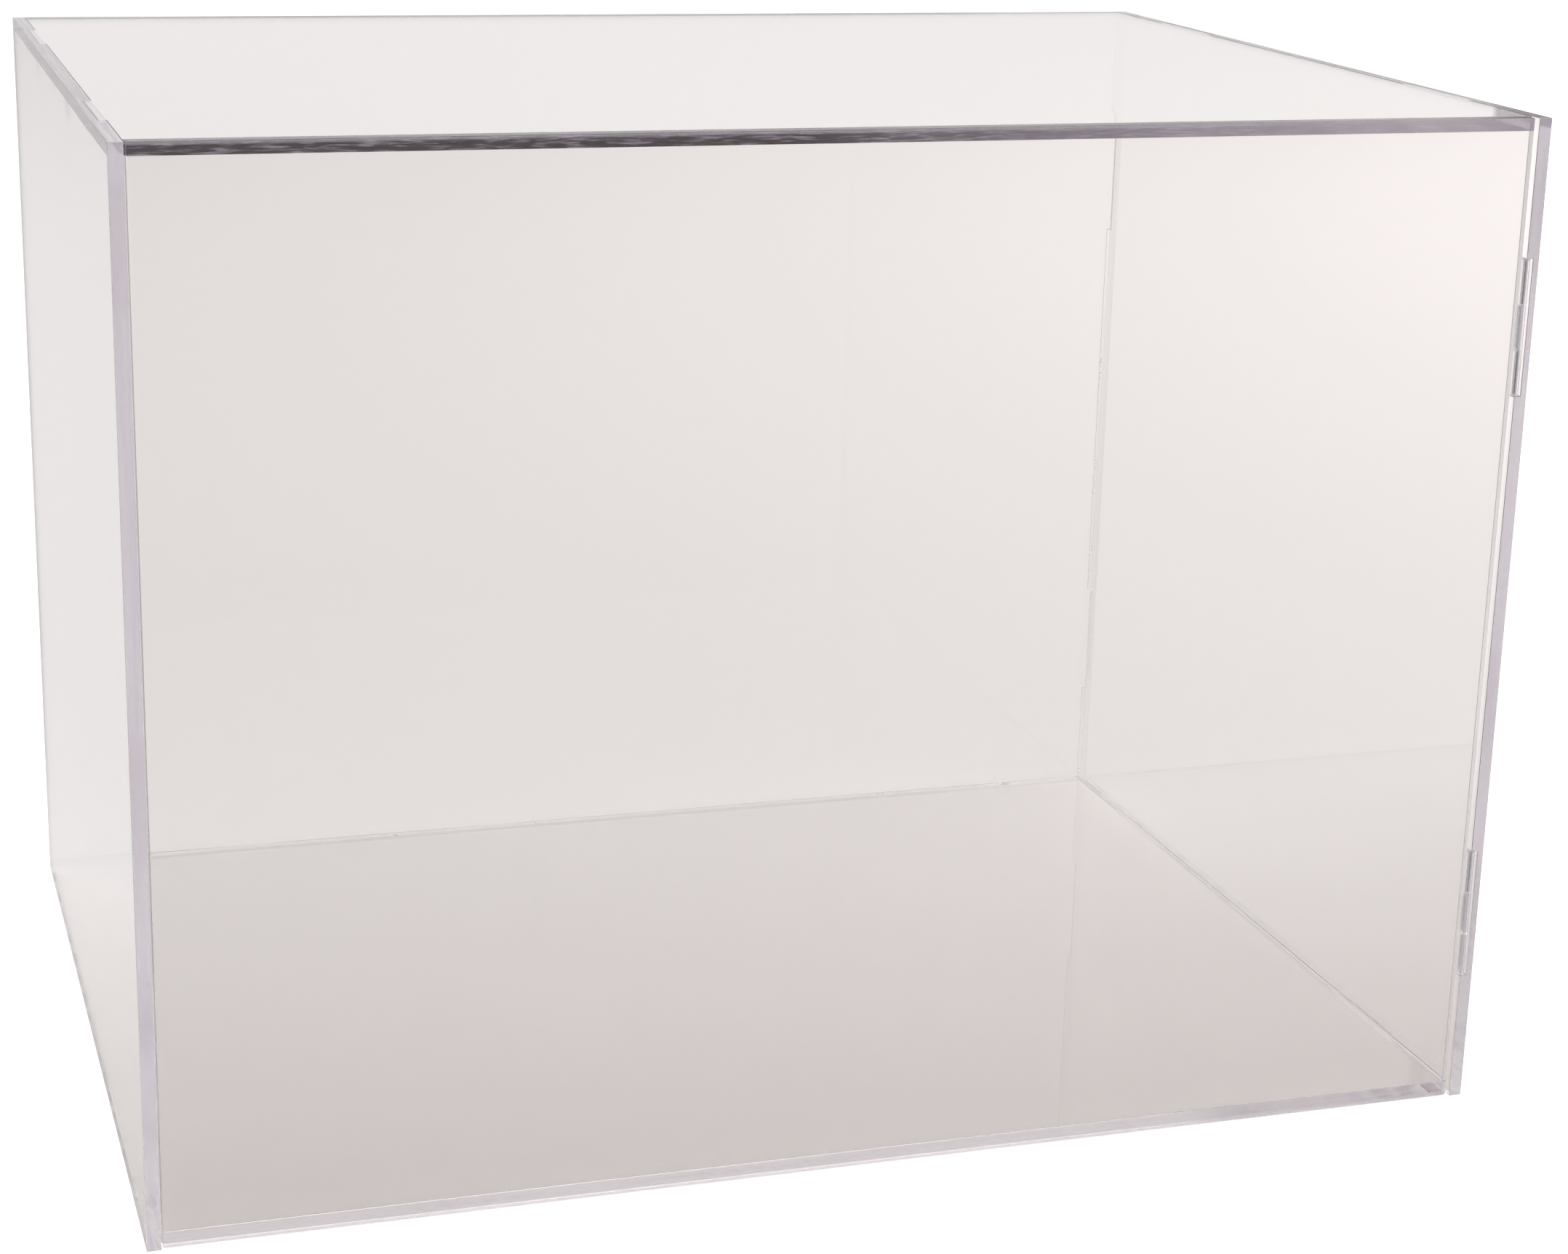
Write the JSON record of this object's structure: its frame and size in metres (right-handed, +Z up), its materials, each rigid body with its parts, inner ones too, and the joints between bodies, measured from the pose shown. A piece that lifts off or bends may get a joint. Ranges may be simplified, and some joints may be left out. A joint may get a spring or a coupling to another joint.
{
  "type": "football display case",
  "caption": "Clear acrylic box case for a full-size football helmet, made of cemented flat sheets, with a front door on small clear hinges at its right edge.",
  "frame": {"origin": "middle of the underside, on the surface that the case stands on", "axes": "+X to the right, along the case's width; +Y to the back, away from the door; +Z up"},
  "size_m": [0.4, 0.3, 0.3],
  "materials": {
    "clear_acrylic": "clear polished acrylic sheet with polished edges",
    "clear_hinge": "clear moulded plastic, slightly milky",
    "clear_pin": "clear drawn plastic rod"
  },
  "bodies": {
    "case": {"left_panel": "clear_acrylic", "right_panel": "clear_acrylic", "top_panel": "clear_acrylic", "base_panel": "clear_acrylic", "back_panel": "clear_acrylic", "upper_hinge_side_leaf": "clear_hinge", "upper_hinge_pin": "clear_pin", "lower_hinge_side_leaf": "clear_hinge", "lower_hinge_pin": "clear_pin"},
    "door": {"front_door": "clear_acrylic", "upper_hinge_door_leaf": "clear_hinge", "lower_hinge_door_leaf": "clear_hinge"}
  },
  "joints": [
    {"name": "door_hinge", "type": "hinge", "parent": "case", "child": "door", "pos_m": [0.1966, -0.1488, 0.15], "axis": [0, 0, 1], "range_deg": [0, 110]}
  ]
}
